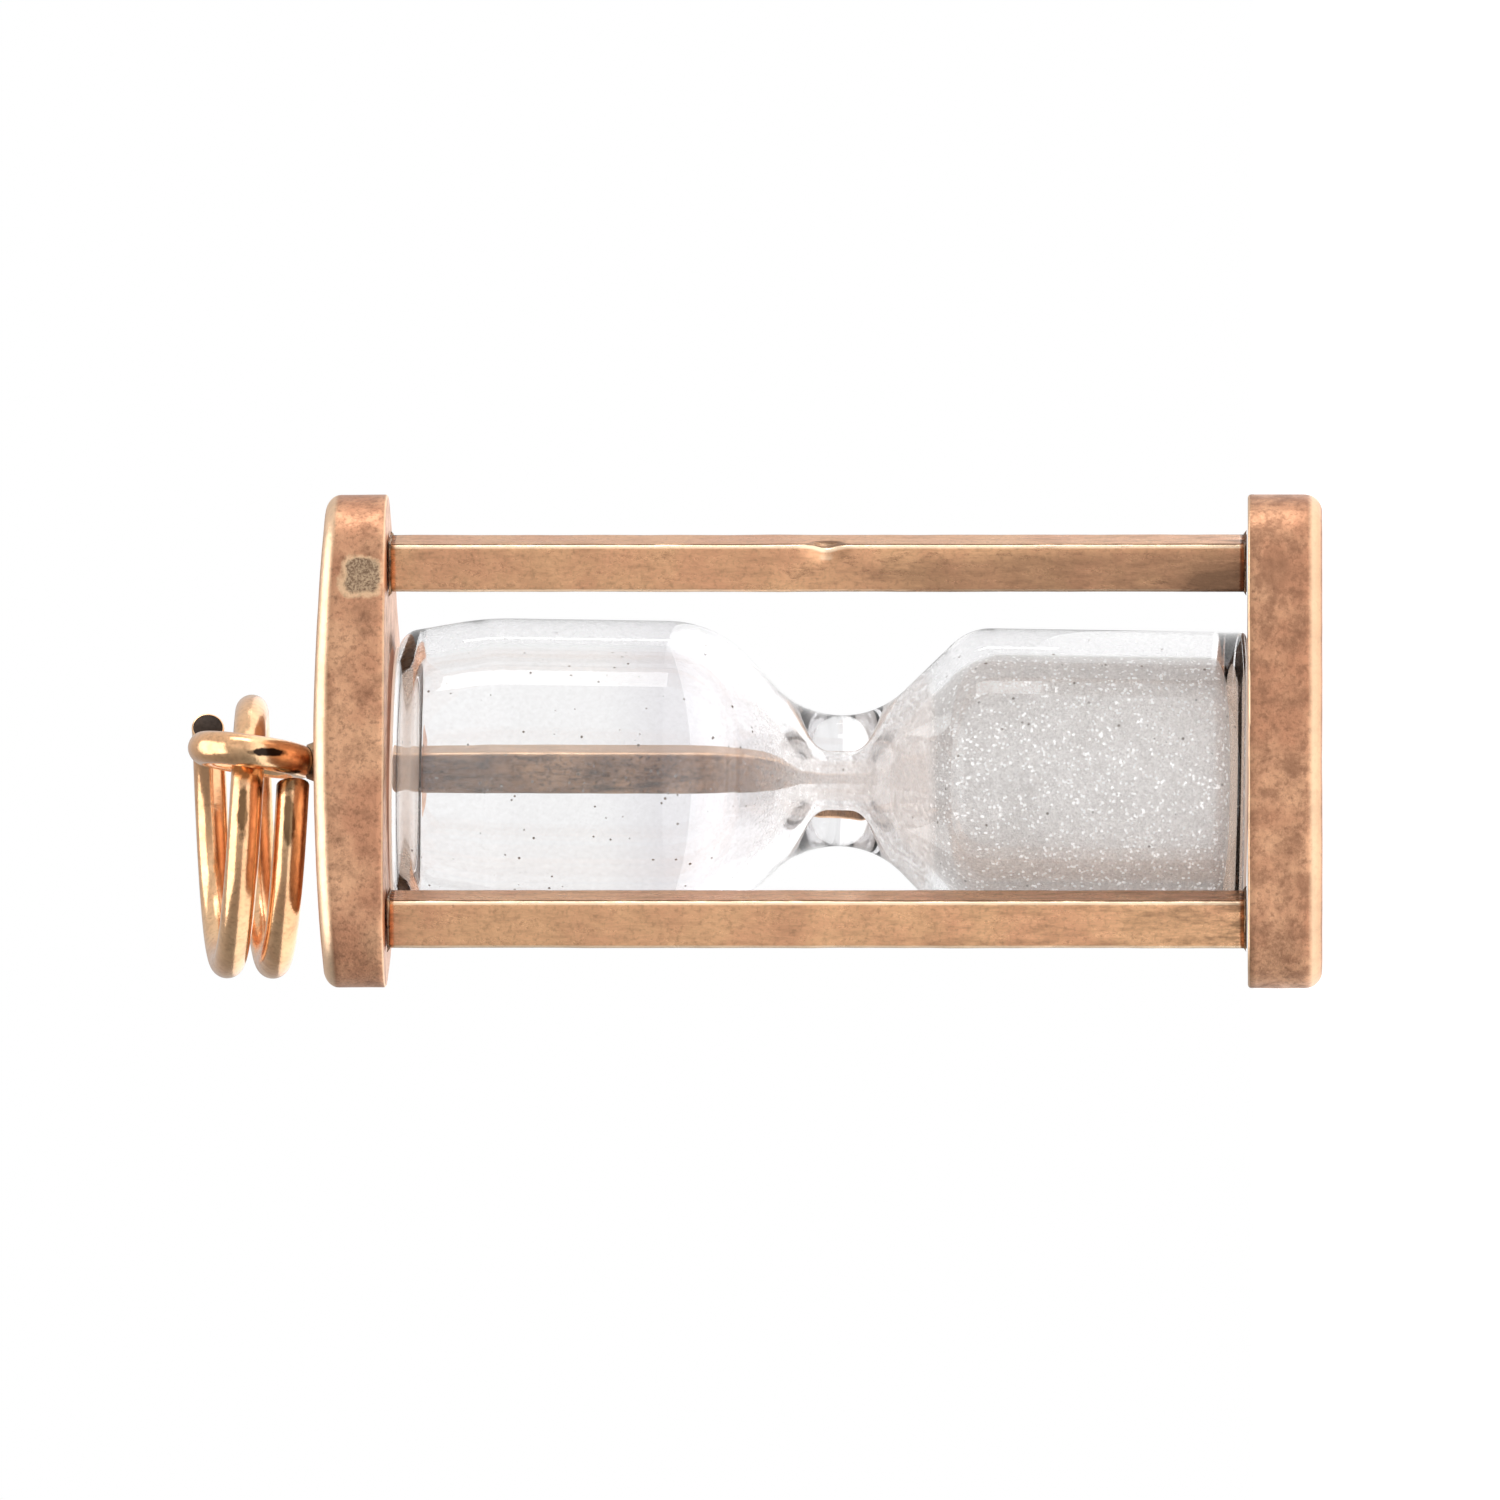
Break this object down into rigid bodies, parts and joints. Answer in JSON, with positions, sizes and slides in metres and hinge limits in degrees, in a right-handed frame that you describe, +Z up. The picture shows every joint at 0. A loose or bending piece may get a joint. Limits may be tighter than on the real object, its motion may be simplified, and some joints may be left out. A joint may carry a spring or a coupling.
{
  "type": "hourglass charm",
  "caption": "Miniature gold hourglass charm: glass sand vial between rounded-triangle end plates on square posts, with a bail and a split ring to hang it by.",
  "frame": {"origin": "underside of the bottom plate, at the middle of the three posts", "axes": "+Z up along the hourglass towards the bail, -Y towards the flat side between the two front posts, +X to that side's right"},
  "size_m": [0.0098, 0.0089, 0.0228],
  "materials": {
    "plate_gold": "worn satin rose gold",
    "post_gold": "worn satin rose gold, polished along the edges",
    "bail_gold": "polished gold wire",
    "ring_gold": "polished gold wire",
    "solder": "dull, darkened solder",
    "vial_glass": "clear blown glass",
    "white_sand": "fine sparkling white sand",
    "cement": "clear yellowed cement"
  },
  "bodies": {
    "hourglass": {"bottom_plate": "plate_gold", "top_plate": "plate_gold", "post_right": "post_gold", "post_left": "post_gold", "post_back": "post_gold", "glass_vial": "vial_glass", "sand": "white_sand", "vial_cement_lower": "cement", "vial_cement_upper": "cement", "bail_loop": "bail_gold", "bail_solder": "solder", "solder_top": "solder", "solder_bottom": "solder"},
    "ring": {"split_ring": "ring_gold"}
  },
  "joints": [
    {"name": "ring_swing", "type": "hinge", "parent": "hourglass", "child": "ring", "pos_m": [-0.0001, 0, 0.02141], "axis": [0.9903, 0, -0.1392], "range_deg": [-15, 165]}
  ]
}
